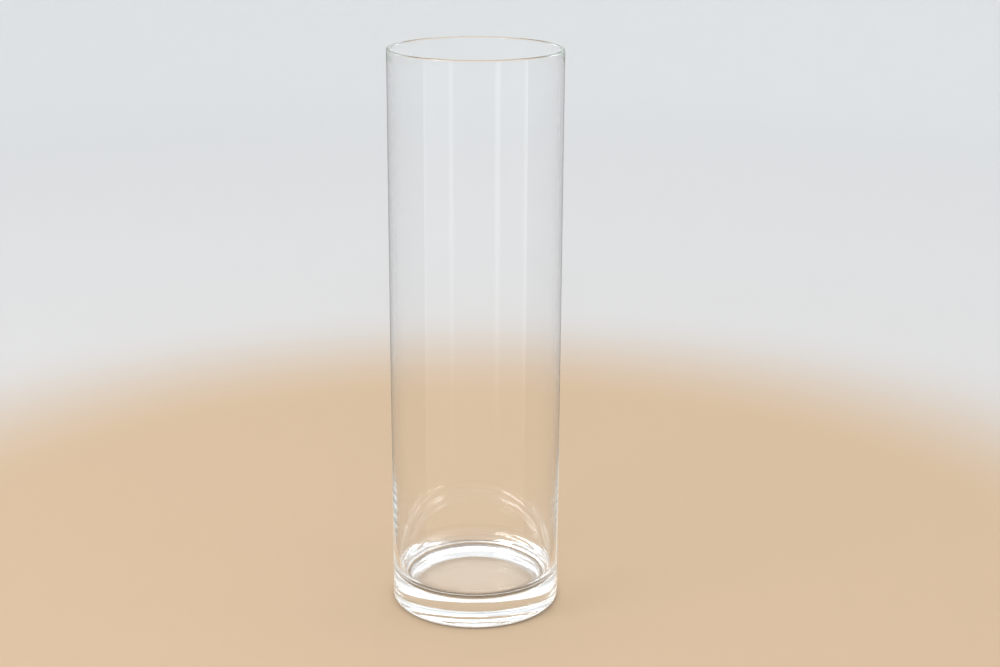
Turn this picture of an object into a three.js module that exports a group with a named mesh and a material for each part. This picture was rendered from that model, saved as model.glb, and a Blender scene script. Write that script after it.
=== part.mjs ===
// Clear glass cylinder vase: one body of glass with a straight side, a rounded rim and a thick solid base.
// Millimetres, +Z up. The origin is on the axis, at the level of the surface that the vase stands on.
import * as THREE from "three";

// Driving dimensions
const HEIGHT = 300;
const OUTER_RADIUS = 45;
const RIM_WALL = 2.2; // wall thickness from the rim down to the taper
const LOW_WALL = 3.2; // wall thickness where the side runs into the base
const TAPER_HEIGHT = 60; // the wall thickens over this height, just above the inner fillet
const FLOOR_HEIGHT = 14; // inner floor above the standing surface
const FLOOR_FILLET = 9; // round between the inner wall and the inner floor
const HEEL_RADIUS = 3; // round between the side and the standing ring
const RING_WIDTH = 2.5; // flat ring that the vase stands on
const RECESS_DEPTH = 3; // hollow under the base, so that only the ring touches the surface
const RECESS_FLATNESS = 4; // the recess falls off as this power of the distance from the axis

// Fineness of the faceted solid
const SECTORS = 72;
const CURVE_STEPS = 4;
const RECESS_STEPS = 6;

const RIM_INNER_RADIUS = OUTER_RADIUS - RIM_WALL;
const LOW_INNER_RADIUS = OUTER_RADIUS - LOW_WALL;
const RING_OUTER_RADIUS = OUTER_RADIUS - HEEL_RADIUS;
const RECESS_RADIUS = RING_OUTER_RADIUS - RING_WIDTH;

// From the axis outwards: a shallow recess, nearly flat in the middle, the standing ring and the heel.
function addUnderside(outline) {
  outline.moveTo(0, RECESS_DEPTH);
  for (let step = 1; step <= RECESS_STEPS; step++) {
    const share = Math.sqrt(step / RECESS_STEPS); // closer steps where the recess is steeper
    outline.lineTo(RECESS_RADIUS * share, RECESS_DEPTH * (1 - share ** RECESS_FLATNESS));
  }
  outline.lineTo(RING_OUTER_RADIUS, 0);
  outline.absarc(RING_OUTER_RADIUS, HEEL_RADIUS, HEEL_RADIUS, -Math.PI / 2, 0, false);
}

// The straight side, up to the rim's half round.
function addSideAndRim(outline) {
  const lipRadius = RIM_WALL / 2;
  outline.lineTo(OUTER_RADIUS, HEIGHT - lipRadius);
  outline.absarc(OUTER_RADIUS - lipRadius, HEIGHT - lipRadius, lipRadius, 0, Math.PI, false);
}

// Down the inner wall, which thickens towards the base, and round the fillet onto the flat inner floor.
function addInside(outline) {
  const filletTop = FLOOR_HEIGHT + FLOOR_FILLET;
  const taperTop = filletTop + TAPER_HEIGHT;
  const taperMiddle = filletTop + TAPER_HEIGHT / 2;
  outline.lineTo(RIM_INNER_RADIUS, taperTop);
  outline.bezierCurveTo(
    RIM_INNER_RADIUS, taperMiddle, LOW_INNER_RADIUS, taperMiddle, LOW_INNER_RADIUS, filletTop,
  );
  outline.absarc(LOW_INNER_RADIUS - FLOOR_FILLET, filletTop, FLOOR_FILLET, 0, -Math.PI / 2, true);
  outline.lineTo(0, FLOOR_HEIGHT);
}

function vaseGeometry() {
  const outline = new THREE.Path();
  addUnderside(outline);
  addSideAndRim(outline);
  addInside(outline);
  const geometry = new THREE.LatheGeometry(outline.getPoints(CURVE_STEPS), SECTORS);
  geometry.rotateX(Math.PI / 2); // the lathe turns about Y, and the vase stands along Z
  return geometry;
}

const clearGlass = new THREE.MeshStandardMaterial({
  color: 0xeaf2f1,
  roughness: 0.04,
  metalness: 0,
  transparent: true,
  opacity: 0.35,
});

const glassVase = new THREE.Mesh(vaseGeometry(), clearGlass);
glassVase.name = "glass_vase";

const vase = new THREE.Group();
vase.add(glassVase);

export default vase;
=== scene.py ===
"""Looks of the clear glass cylinder vase: one fine glass body for the faceted solid, in a pale studio."""
import math
import random

import bpy
from mathutils import Matrix, Vector


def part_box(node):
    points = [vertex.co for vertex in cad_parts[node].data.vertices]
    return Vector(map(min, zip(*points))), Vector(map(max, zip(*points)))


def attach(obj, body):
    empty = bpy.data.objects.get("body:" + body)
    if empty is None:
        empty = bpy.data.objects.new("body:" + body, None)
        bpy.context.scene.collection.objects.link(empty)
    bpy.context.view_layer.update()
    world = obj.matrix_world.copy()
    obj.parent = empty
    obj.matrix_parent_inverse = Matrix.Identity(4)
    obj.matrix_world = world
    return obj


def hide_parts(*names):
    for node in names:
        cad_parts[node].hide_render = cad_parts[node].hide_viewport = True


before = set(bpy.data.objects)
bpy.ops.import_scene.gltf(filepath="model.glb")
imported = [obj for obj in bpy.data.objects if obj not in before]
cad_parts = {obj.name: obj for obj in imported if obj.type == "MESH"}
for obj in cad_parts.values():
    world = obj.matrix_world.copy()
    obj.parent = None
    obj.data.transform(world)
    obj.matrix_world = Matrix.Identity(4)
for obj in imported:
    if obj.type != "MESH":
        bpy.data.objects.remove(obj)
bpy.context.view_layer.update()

NODE = "glass_vase"
MM = 0.001

# The outside comes from the frame; the rest is the same section as the frame's solid, with finer rounds.
LOW_CORNER, HIGH_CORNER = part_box(NODE)
OUTER_RADIUS = (HIGH_CORNER.x - LOW_CORNER.x) / 2
HEIGHT = HIGH_CORNER.z
RIM_WALL = 2.2 * MM
LOW_WALL = 3.2 * MM
TAPER_HEIGHT = 60 * MM
FLOOR_HEIGHT = 14 * MM
FLOOR_FILLET = 9 * MM
HEEL_RADIUS = 3 * MM
RING_WIDTH = 2.5 * MM
RECESS_DEPTH = 3 * MM
RECESS_FLATNESS = 4  # the recess falls off as this power of the distance from the axis
FLOOR_GAP = 0.15 * MM  # air between the standing ring and the stage
LIP_RADIUS = RIM_WALL / 2
FILLET_TOP = FLOOR_HEIGHT + FLOOR_FILLET

# Fineness of the glass body
SECTORS = 288
ON_AXIS = 1e-9  # a smaller radius than this is a single point
RECESS_STEPS = 40
RING_STEPS = 3
HEEL_STEPS = 12
SIDE_STEPS = 36
LIP_STEPS = 16
BORE_STEPS = 44
FILLET_STEPS = 18
FLOOR_STEPS = 10

# Ripples of the bore
RIPPLE_SEED = 7
RIPPLE_COUNTS = range(3, 25)  # waves round the bore
RIPPLE_SIZE = 0.05 * MM
RIPPLE_FALL = 0.8  # a ripple shrinks as this power of its count
RIPPLE_TWIST = 9  # most turn of the phase, in radians for each metre of height
RIPPLE_START = 0.6  # the ripples begin at this share of the inner floor's height
RIPPLE_RISE = 20 * MM
OUTSIDE_CALM = 0.85  # share of a ripple that the outer face loses

# Glass
GLASS_IOR = 1.52
TINT_COLOUR = (0.86, 0.95, 0.94, 1)
TINT_DENSITY = 1.5
SMUDGE_ROUGHNESS = 0.035
SMUDGE_NOISE = (0.56, 0.72)  # smudges start and are full at these values of their noise
RING_ROUGHNESS = 0.3
RING_HEIGHTS = (0.1 * MM, 0.7 * MM)
CORD_STRENGTH = 0.12
CORD_DEPTH = 0.2 * MM

# Shares of light that the glass lets through to the table
FACE_ON_SHARE = 0.99
EDGE_ON_SHARE = 0.4
EDGE_ON_START = 0.6
FOOT_SHARE = 0.35
FOOT_HEIGHTS = (0.2 * MM, 3.4 * MM)

# Camera: distances in vase diameters, angles in degrees
CAMERA_DISTANCE = 9.7277
CAMERA_ABOVE_RIM = 1.3194
CAMERA_PITCH = 17.0746
CAMERA_TURN = 0.845
CAMERA_ROLL = 0.2786
CAMERA_LENS = 62.48
SENSOR_WIDTH = 36

# Stage, in metres
STAGE_RADIUS = 1.4
STAGE_SWEEP = 0.7
STAGE_TOP = 1.3
STAGE_SECTORS = 128
STAGE_REACH = 2.2  # the shades below are placed at shares of this distance from the vase
STAGE_SHADES = (
    (0.15, (0.61, 0.45, 0.30, 1)),
    (0.26, (0.66, 0.65, 0.64, 1)),
    (0.40, (0.66, 0.66, 0.66, 1)),
    (0.75, (0.68, 0.69, 0.69, 1)),
)
GLOW_COLOUR = (0.97, 0.985, 1, 1)
GLOW_HEIGHTS = (0.6, 0.9)
GLOW_STRENGTH = 0.45

# Panels and cards that show only in the glass's reflections
FLAG_DISTANCE = 0.09
FLAG_FRONT = -0.06
FLAG_BACK = 0.7
FLAG_TOP = 0.5
FLAG_COLOUR = (0.2, 0.2, 0.2, 1)
CARD_DISTANCE = 0.2
CARDS = (  # name, azimuth in degrees, width, height, brightness
    ("card_far_left", -65, 0.05, 0.44, 0.9),
    ("card_left", -28, 0.034, 0.5, 1.2),
    ("card_right", 25, 0.04, 0.5, 1.5),
    ("card_far_right", 62, 0.045, 0.5, 1.4),
)

# Softboxes and air
SOFTBOXES = (  # name, place, size, watts
    ("key", (-1.5, -1.1, 1.7), (1.0, 1.0), 27),
    ("fill", (1.7, -0.3, 1.5), (0.5, 1.4), 5),
    ("back", (0.5, 1.5, 1.9), (1.6, 0.8), 7),
)
AIR_COLOUR = (0.95, 0.97, 1.0, 1)
AIR_STRENGTH = 0.92
AIR_STRENGTH_ON_SURFACES = 0.75
MOST_BOUNCES = 400  # light turns back many times inside the thick base


# ---- Camera ----

def add_camera():
    """The viewpoint: a little above the rim, looking down at the vase."""
    diameter = 2 * OUTER_RADIUS
    pitch = math.radians(CAMERA_PITCH)
    turn = math.radians(CAMERA_TURN)
    roll = math.radians(CAMERA_ROLL)
    level = math.cos(pitch)
    forward = Vector((math.sin(turn) * level, math.cos(turn) * level, -math.sin(pitch)))
    level_right = Vector((math.cos(turn), -math.sin(turn), 0))
    level_up = level_right.cross(forward)
    right = level_right * math.cos(roll) + level_up * math.sin(roll)
    up = level_up * math.cos(roll) - level_right * math.sin(roll)
    data = bpy.data.cameras.new("camera")
    data.sensor_width = SENSOR_WIDTH
    data.lens = CAMERA_LENS
    data.clip_start = 0.01
    data.clip_end = 50
    camera = bpy.data.objects.new("camera", data)
    place = Matrix((right, up, -forward)).transposed().to_4x4()
    place.translation = Vector((0, -CAMERA_DISTANCE * diameter, HEIGHT + CAMERA_ABOVE_RIM * diameter))
    camera.matrix_world = place
    bpy.context.scene.collection.objects.link(camera)
    bpy.context.scene.camera = camera


# ---- Mesh helpers ----

def arc(centre, radius, start, end, steps):
    """Points of a circular arc in the section plane, its first point left out. Angles in degrees."""
    angles = [math.radians(start + (end - start) * i / steps) for i in range(1, steps + 1)]
    return [(centre[0] + radius * math.cos(a), centre[1] + radius * math.sin(a)) for a in angles]


def line(start, end, steps):
    """Evenly spaced points from start to end, start left out."""
    shares = [i / steps for i in range(1, steps + 1)]
    return [(start[0] + (end[0] - start[0]) * s, start[1] + (end[1] - start[1]) * s) for s in shares]


def smooth_step(share):
    """0 below 0, 1 above 1, and a smooth rise between them."""
    share = min(max(share, 0), 1)
    return share * share * (3 - 2 * share)


def joined_rings(low, high):
    """The faces between two rings of points, either of which may be a single point on the axis."""
    sectors = max(len(low), len(high))
    faces = []
    for i in range(sectors):
        j = (i + 1) % sectors
        if len(low) == 1:
            faces.append((low[0], high[j], high[i]))
        elif len(high) == 1:
            faces.append((low[i], low[j], high[0]))
        else:
            faces.append((low[i], low[j], high[j], high[i]))
    return faces


def revolved(name, section, sectors, moved=None):
    """The section turned about Z, shaded smooth.

    moved(radius, height, angle), if given, returns the radius and height that an off-axis point moves to.
    """
    points = []
    rings = []
    for radius, height in section:
        count = 1 if radius < ON_AXIS else sectors
        rings.append(range(len(points), len(points) + count))
        for i in range(count):
            angle = 2 * math.pi * i / sectors
            r, z = (radius, height) if moved is None or count == 1 else moved(radius, height, angle)
            points.append((r * math.cos(angle), r * math.sin(angle), z))
    faces = [face for low, high in zip(rings, rings[1:]) for face in joined_rings(low, high)]
    mesh = bpy.data.meshes.new(name)
    mesh.from_pydata(points, [], faces)
    mesh.polygons.foreach_set("use_smooth", [True] * len(faces))
    mesh.update()
    piece = bpy.data.objects.new(name, mesh)
    bpy.context.scene.collection.objects.link(piece)
    return piece


# ---- The vase ----

def inner_radius(height):
    """The bore: the rim's wall above the taper, and the thicker low wall just above the floor's fillet."""
    low_share = 1 - smooth_step((height - FILLET_TOP) / TAPER_HEIGHT)
    return OUTER_RADIUS - RIM_WALL - (LOW_WALL - RIM_WALL) * low_share


def outside_section():
    """From the middle of the recess, over the standing ring and the heel, up the side and over the rim."""
    ring_outer = OUTER_RADIUS - HEEL_RADIUS
    ring_inner = ring_outer - RING_WIDTH
    rim_middle = (OUTER_RADIUS - LIP_RADIUS, HEIGHT - LIP_RADIUS)
    shares = [i / RECESS_STEPS for i in range(RECESS_STEPS + 1)]
    section = [(ring_inner * s, RECESS_DEPTH * (1 - s ** RECESS_FLATNESS)) for s in shares]
    section += line(section[-1], (ring_outer, 0), RING_STEPS)
    section += arc((ring_outer, HEEL_RADIUS), HEEL_RADIUS, -90, 0, HEEL_STEPS)
    section += line(section[-1], (OUTER_RADIUS, HEIGHT - LIP_RADIUS), SIDE_STEPS)
    section += arc(rim_middle, LIP_RADIUS, 0, 180, LIP_STEPS)
    return section


def inside_section():
    """From just below the rim down the bore, round the fillet and in to the middle of the inner floor."""
    bore = line((0, HEIGHT - LIP_RADIUS), (0, FILLET_TOP), BORE_STEPS)
    section = [(inner_radius(height), height) for _, height in bore]
    floor_edge = OUTER_RADIUS - LOW_WALL - FLOOR_FILLET
    section += arc((floor_edge, FILLET_TOP), FLOOR_FILLET, 0, -90, FILLET_STEPS)
    section += line(section[-1], (0, FLOOR_HEIGHT), FLOOR_STEPS)
    return section


def ripple_waves():
    """Seeded waves round the bore: (waves round, size, phase, twist)."""
    dice = random.Random(RIPPLE_SEED)
    waves = []
    for count in RIPPLE_COUNTS:
        size = RIPPLE_SIZE / count ** RIPPLE_FALL * dice.uniform(0.4, 1)
        phase = dice.uniform(0, 2 * math.pi)
        twist = dice.uniform(-RIPPLE_TWIST, RIPPLE_TWIST)
        waves.append((count, size, phase, twist))
    return waves


RIPPLES = ripple_waves()


def drawn_glass(radius, height, angle):
    """Blown glass is true outside, where the mould shaped it, and a little uneven on the free inner side."""
    ripple = sum(size * math.cos(n * angle + phase + twist * height) for n, size, phase, twist in RIPPLES)
    above_floor = smooth_step((height - FLOOR_HEIGHT * RIPPLE_START) / RIPPLE_RISE)
    outer_share = smooth_step((radius - inner_radius(height)) / RIM_WALL)
    return radius + ripple * above_floor * (1 - OUTSIDE_CALM * outer_share), height


def add_vase():
    vase = revolved("vase_glass", outside_section() + inside_section(), SECTORS, drawn_glass)
    vase.data.materials.append(glass_material())
    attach(vase, "root")
    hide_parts(NODE)


# ---- Node helpers ----

def new_material(name):
    """A node material, followed by its nodes, its links, its Principled shader and its output."""
    material = bpy.data.materials.new(name)
    material.use_nodes = True
    nodes = material.node_tree.nodes
    return material, nodes, material.node_tree.links, nodes["Principled BSDF"], nodes["Material Output"]


def map_range(nodes, links, source, from_range, to_range, shape="SMOOTHSTEP"):
    """Takes source from from_range to to_range, both (low, high), and holds it level outside them."""
    step = nodes.new("ShaderNodeMapRange")
    step.interpolation_type = shape
    step.inputs["From Min"].default_value = from_range[0]
    step.inputs["From Max"].default_value = from_range[1]
    step.inputs["To Min"].default_value = to_range[0]
    step.inputs["To Max"].default_value = to_range[1]
    links.new(source, step.inputs["Value"])
    return step.outputs["Result"]


def math_node(nodes, links, operation, *values):
    """The result of a Math node, whose values are outputs of other nodes or plain numbers."""
    node = nodes.new("ShaderNodeMath")
    node.operation = operation
    for socket, value in zip(node.inputs, values):
        if isinstance(value, bpy.types.NodeSocket):
            links.new(value, socket)
        else:
            socket.default_value = value
    return node.outputs["Value"]


def height_of(nodes, links, place):
    parts = nodes.new("ShaderNodeSeparateXYZ")
    links.new(place, parts.inputs["Vector"])
    return parts.outputs["Z"]


def stretched_noise(nodes, links, place, upright, scale, detail):
    """Noise in the object's own space, drawn out along Z where upright is small."""
    mapping = nodes.new("ShaderNodeMapping")
    mapping.inputs["Scale"].default_value = (1, 1, upright)
    noise = nodes.new("ShaderNodeTexNoise")
    noise.inputs["Scale"].default_value = scale
    noise.inputs["Detail"].default_value = detail
    links.new(place, mapping.inputs["Vector"])
    links.new(mapping.outputs["Vector"], noise.inputs["Vector"])
    return noise.outputs["Fac"]


# ---- Glass ----

def glass_roughness(nodes, links, place):
    """Clear polish with faint handling smudges, and the standing ring scuffed by tables."""
    height = height_of(nodes, links, place)
    smudge_noise = stretched_noise(nodes, links, place, upright=0.5, scale=28, detail=5)
    smudges = map_range(nodes, links, smudge_noise, SMUDGE_NOISE, (0, SMUDGE_ROUGHNESS))
    scuffs = map_range(nodes, links, height, RING_HEIGHTS, (RING_ROUGHNESS, 0))
    return math_node(nodes, links, "MAXIMUM", smudges, scuffs)


def glass_bump(nodes, links, place):
    """Fine upright cords left in the glass when it was drawn, far too shallow to model."""
    bump = nodes.new("ShaderNodeBump")
    bump.inputs["Strength"].default_value = CORD_STRENGTH
    bump.inputs["Distance"].default_value = CORD_DEPTH
    cords = stretched_noise(nodes, links, place, upright=0.06, scale=130, detail=3)
    links.new(cords, bump.inputs["Height"])
    return bump.outputs["Normal"]


def shadow_glass(nodes, links, place):
    """What shadow and diffuse rays meet: clear face on, darker edge on and close to the table."""
    through = nodes.new("ShaderNodeBsdfTransparent")
    edge_on = nodes.new("ShaderNodeLayerWeight")
    edge_on.inputs["Blend"].default_value = 0.5
    angles = (EDGE_ON_START, 1)
    by_angle = map_range(nodes, links, edge_on.outputs["Facing"], angles, (FACE_ON_SHARE, EDGE_ON_SHARE))
    height = height_of(nodes, links, place)
    by_height = map_range(nodes, links, height, FOOT_HEIGHTS, (FOOT_SHARE, 1))
    links.new(math_node(nodes, links, "MULTIPLY", by_angle, by_height), through.inputs["Color"])
    return through.outputs["BSDF"]


def glass_material():
    """Clear soda-lime glass, colourless through the wall and faintly cool through the thick base."""
    material, nodes, links, glass, output = new_material("clear_glass")
    glass.inputs["Base Color"].default_value = (1, 1, 1, 1)
    glass.inputs["Transmission Weight"].default_value = 1
    glass.inputs["IOR"].default_value = GLASS_IOR
    place = nodes.new("ShaderNodeTexCoord").outputs["Object"]
    links.new(glass_roughness(nodes, links, place), glass.inputs["Roughness"])
    links.new(glass_bump(nodes, links, place), glass.inputs["Normal"])
    rays = nodes.new("ShaderNodeLightPath")
    through = shadow_glass(nodes, links, place)
    seen = glass.outputs["BSDF"]
    for kind in ("Is Shadow Ray", "Is Diffuse Ray"):
        mix = nodes.new("ShaderNodeMixShader")
        links.new(rays.outputs[kind], mix.inputs[0])
        links.new(seen, mix.inputs[1])
        links.new(through, mix.inputs[2])
        seen = mix.outputs["Shader"]
    links.new(seen, output.inputs["Surface"])
    tint = nodes.new("ShaderNodeVolumeAbsorption")
    tint.inputs["Color"].default_value = TINT_COLOUR
    tint.inputs["Density"].default_value = TINT_DENSITY
    links.new(tint.outputs["Volume"], output.inputs["Volume"])
    return material


# ---- Studio ----

def stage_colour(nodes, links, place):
    """Warm sand close to the vase, like a wooden table in soft light, and soft white further out."""
    distance = nodes.new("ShaderNodeVectorMath")
    distance.operation = "LENGTH"
    links.new(place, distance.inputs[0])
    spread = map_range(nodes, links, distance.outputs["Value"], (0, STAGE_REACH), (0, 1), "LINEAR")
    ramp = nodes.new("ShaderNodeValToRGB")
    ramp.color_ramp.interpolation = "EASE"
    elements = ramp.color_ramp.elements
    elements.remove(elements[1])
    elements[0].position, elements[0].color = STAGE_SHADES[0]
    for position, colour in STAGE_SHADES[1:]:
        elements.new(position).color = colour
    links.new(spread, ramp.inputs["Fac"])
    return ramp.outputs["Color"]


def stage_material():
    material, nodes, links, surface, _ = new_material("studio")
    surface.inputs["Roughness"].default_value = 0.9
    surface.inputs["Specular IOR Level"].default_value = 0.1
    place = nodes.new("ShaderNodeTexCoord").outputs["Object"]
    links.new(stage_colour(nodes, links, place), surface.inputs["Base Color"])
    height = height_of(nodes, links, place)
    glow = map_range(nodes, links, height, GLOW_HEIGHTS, (0, GLOW_STRENGTH))
    surface.inputs["Emission Color"].default_value = GLOW_COLOUR
    links.new(glow, surface.inputs["Emission Strength"])
    return material


def add_stage():
    """A round pale floor that sweeps up into a low, faintly glowing wall, the same from every side."""
    section = [(0, 0)] + line((0, 0), (STAGE_RADIUS, 0), steps=8)
    section += arc((STAGE_RADIUS, STAGE_SWEEP), STAGE_SWEEP, -90, 0, steps=24)
    section += line(section[-1], (STAGE_RADIUS + STAGE_SWEEP, STAGE_TOP), steps=4)
    stage = revolved("stage", section, STAGE_SECTORS)
    stage.location.z = -FLOOR_GAP
    stage.data.materials.append(stage_material())


def add_flag(name, x):
    """A dark panel beside the vase that shows only in reflections, so the glass's edges read darker."""
    corners = ((x, FLAG_FRONT, 0), (x, FLAG_BACK, 0), (x, FLAG_BACK, FLAG_TOP), (x, FLAG_FRONT, FLAG_TOP))
    mesh = bpy.data.meshes.new("flag")
    mesh.from_pydata(corners, [], [(0, 1, 2, 3)])
    flag = bpy.data.objects.new(name, mesh)
    bpy.context.scene.collection.objects.link(flag)
    flag.visible_camera = False
    flag.visible_diffuse = False
    flag.visible_transmission = False
    flag.visible_shadow = False
    material, _, _, surface, _ = new_material("flag_cloth")
    surface.inputs["Base Color"].default_value = FLAG_COLOUR
    surface.inputs["Roughness"].default_value = 1
    mesh.materials.append(material)


def area_light(name, size):
    data = bpy.data.lights.new(name, "AREA")
    data.shape = "RECTANGLE"
    data.size, data.size_y = size
    light = bpy.data.objects.new(name, data)
    bpy.context.scene.collection.objects.link(light)
    return light


def add_softbox(name, place, size, watts):
    """A large soft light, turned to the middle of the vase."""
    box = area_light(name, size)
    box.data.energy = watts
    box.location = place
    box.rotation_euler = (Vector((0, 0, HEIGHT / 2)) - Vector(place)).to_track_quat("-Z", "Y").to_euler()


def fade_to_edges(data):
    """Makes an area light brightest along its middle, so that its gleam has soft edges."""
    data.use_nodes = True
    nodes = data.node_tree.nodes
    links = data.node_tree.links
    place = nodes.new("ShaderNodeSeparateXYZ")
    links.new(nodes.new("ShaderNodeNewGeometry").outputs["Parametric"], place.inputs["Vector"])
    fades = []
    for axis in ("X", "Y"):
        off_middle = math_node(nodes, links, "SUBTRACT", place.outputs[axis], 0.5)
        from_middle = math_node(nodes, links, "ABSOLUTE", off_middle)
        fades.append(map_range(nodes, links, from_middle, (0, 0.5), (1, 0)))
    links.new(math_node(nodes, links, "MULTIPLY", *fades), nodes["Emission"].inputs["Strength"])


def add_card(name, azimuth, width, height, brightness):
    """A tall bright card beside the vase that shows only as a soft upright gleam in the glass."""
    card = area_light(name, (width, height))
    card.data.energy = brightness * math.pi * width * height
    fade_to_edges(card.data)
    turn = math.radians(azimuth)
    card.location = (CARD_DISTANCE * math.sin(turn), -CARD_DISTANCE * math.cos(turn), height / 2)
    card.rotation_euler = (math.pi / 2, 0, turn)
    card.visible_camera = False
    card.visible_diffuse = False
    card.visible_transmission = False


def add_air():
    """Pale air all round, a little dimmer for surfaces than for what is seen in and through the glass."""
    world = bpy.data.worlds.new("studio_air")
    bpy.context.scene.world = world
    world.use_nodes = True
    nodes = world.node_tree.nodes
    links = world.node_tree.links
    is_diffuse = nodes.new("ShaderNodeLightPath").outputs["Is Diffuse Ray"]
    strengths = (AIR_STRENGTH, AIR_STRENGTH_ON_SURFACES)
    air = nodes["Background"]
    air.inputs["Color"].default_value = AIR_COLOUR
    links.new(map_range(nodes, links, is_diffuse, (0, 1), strengths), air.inputs["Strength"])


def set_light_paths():
    light_paths = bpy.context.scene.cycles
    light_paths.max_bounces = MOST_BOUNCES
    light_paths.glossy_bounces = MOST_BOUNCES
    light_paths.transmission_bounces = MOST_BOUNCES
    light_paths.transparent_max_bounces = MOST_BOUNCES


def add_studio():
    add_stage()
    add_flag("flag_left", -FLAG_DISTANCE)
    add_flag("flag_right", FLAG_DISTANCE)
    for card in CARDS:
        add_card(*card)
    for softbox in SOFTBOXES:
        add_softbox(*softbox)
    add_air()
    set_light_paths()
    bpy.context.scene.view_settings.view_transform = "Standard"


add_camera()
add_vase()
add_studio()
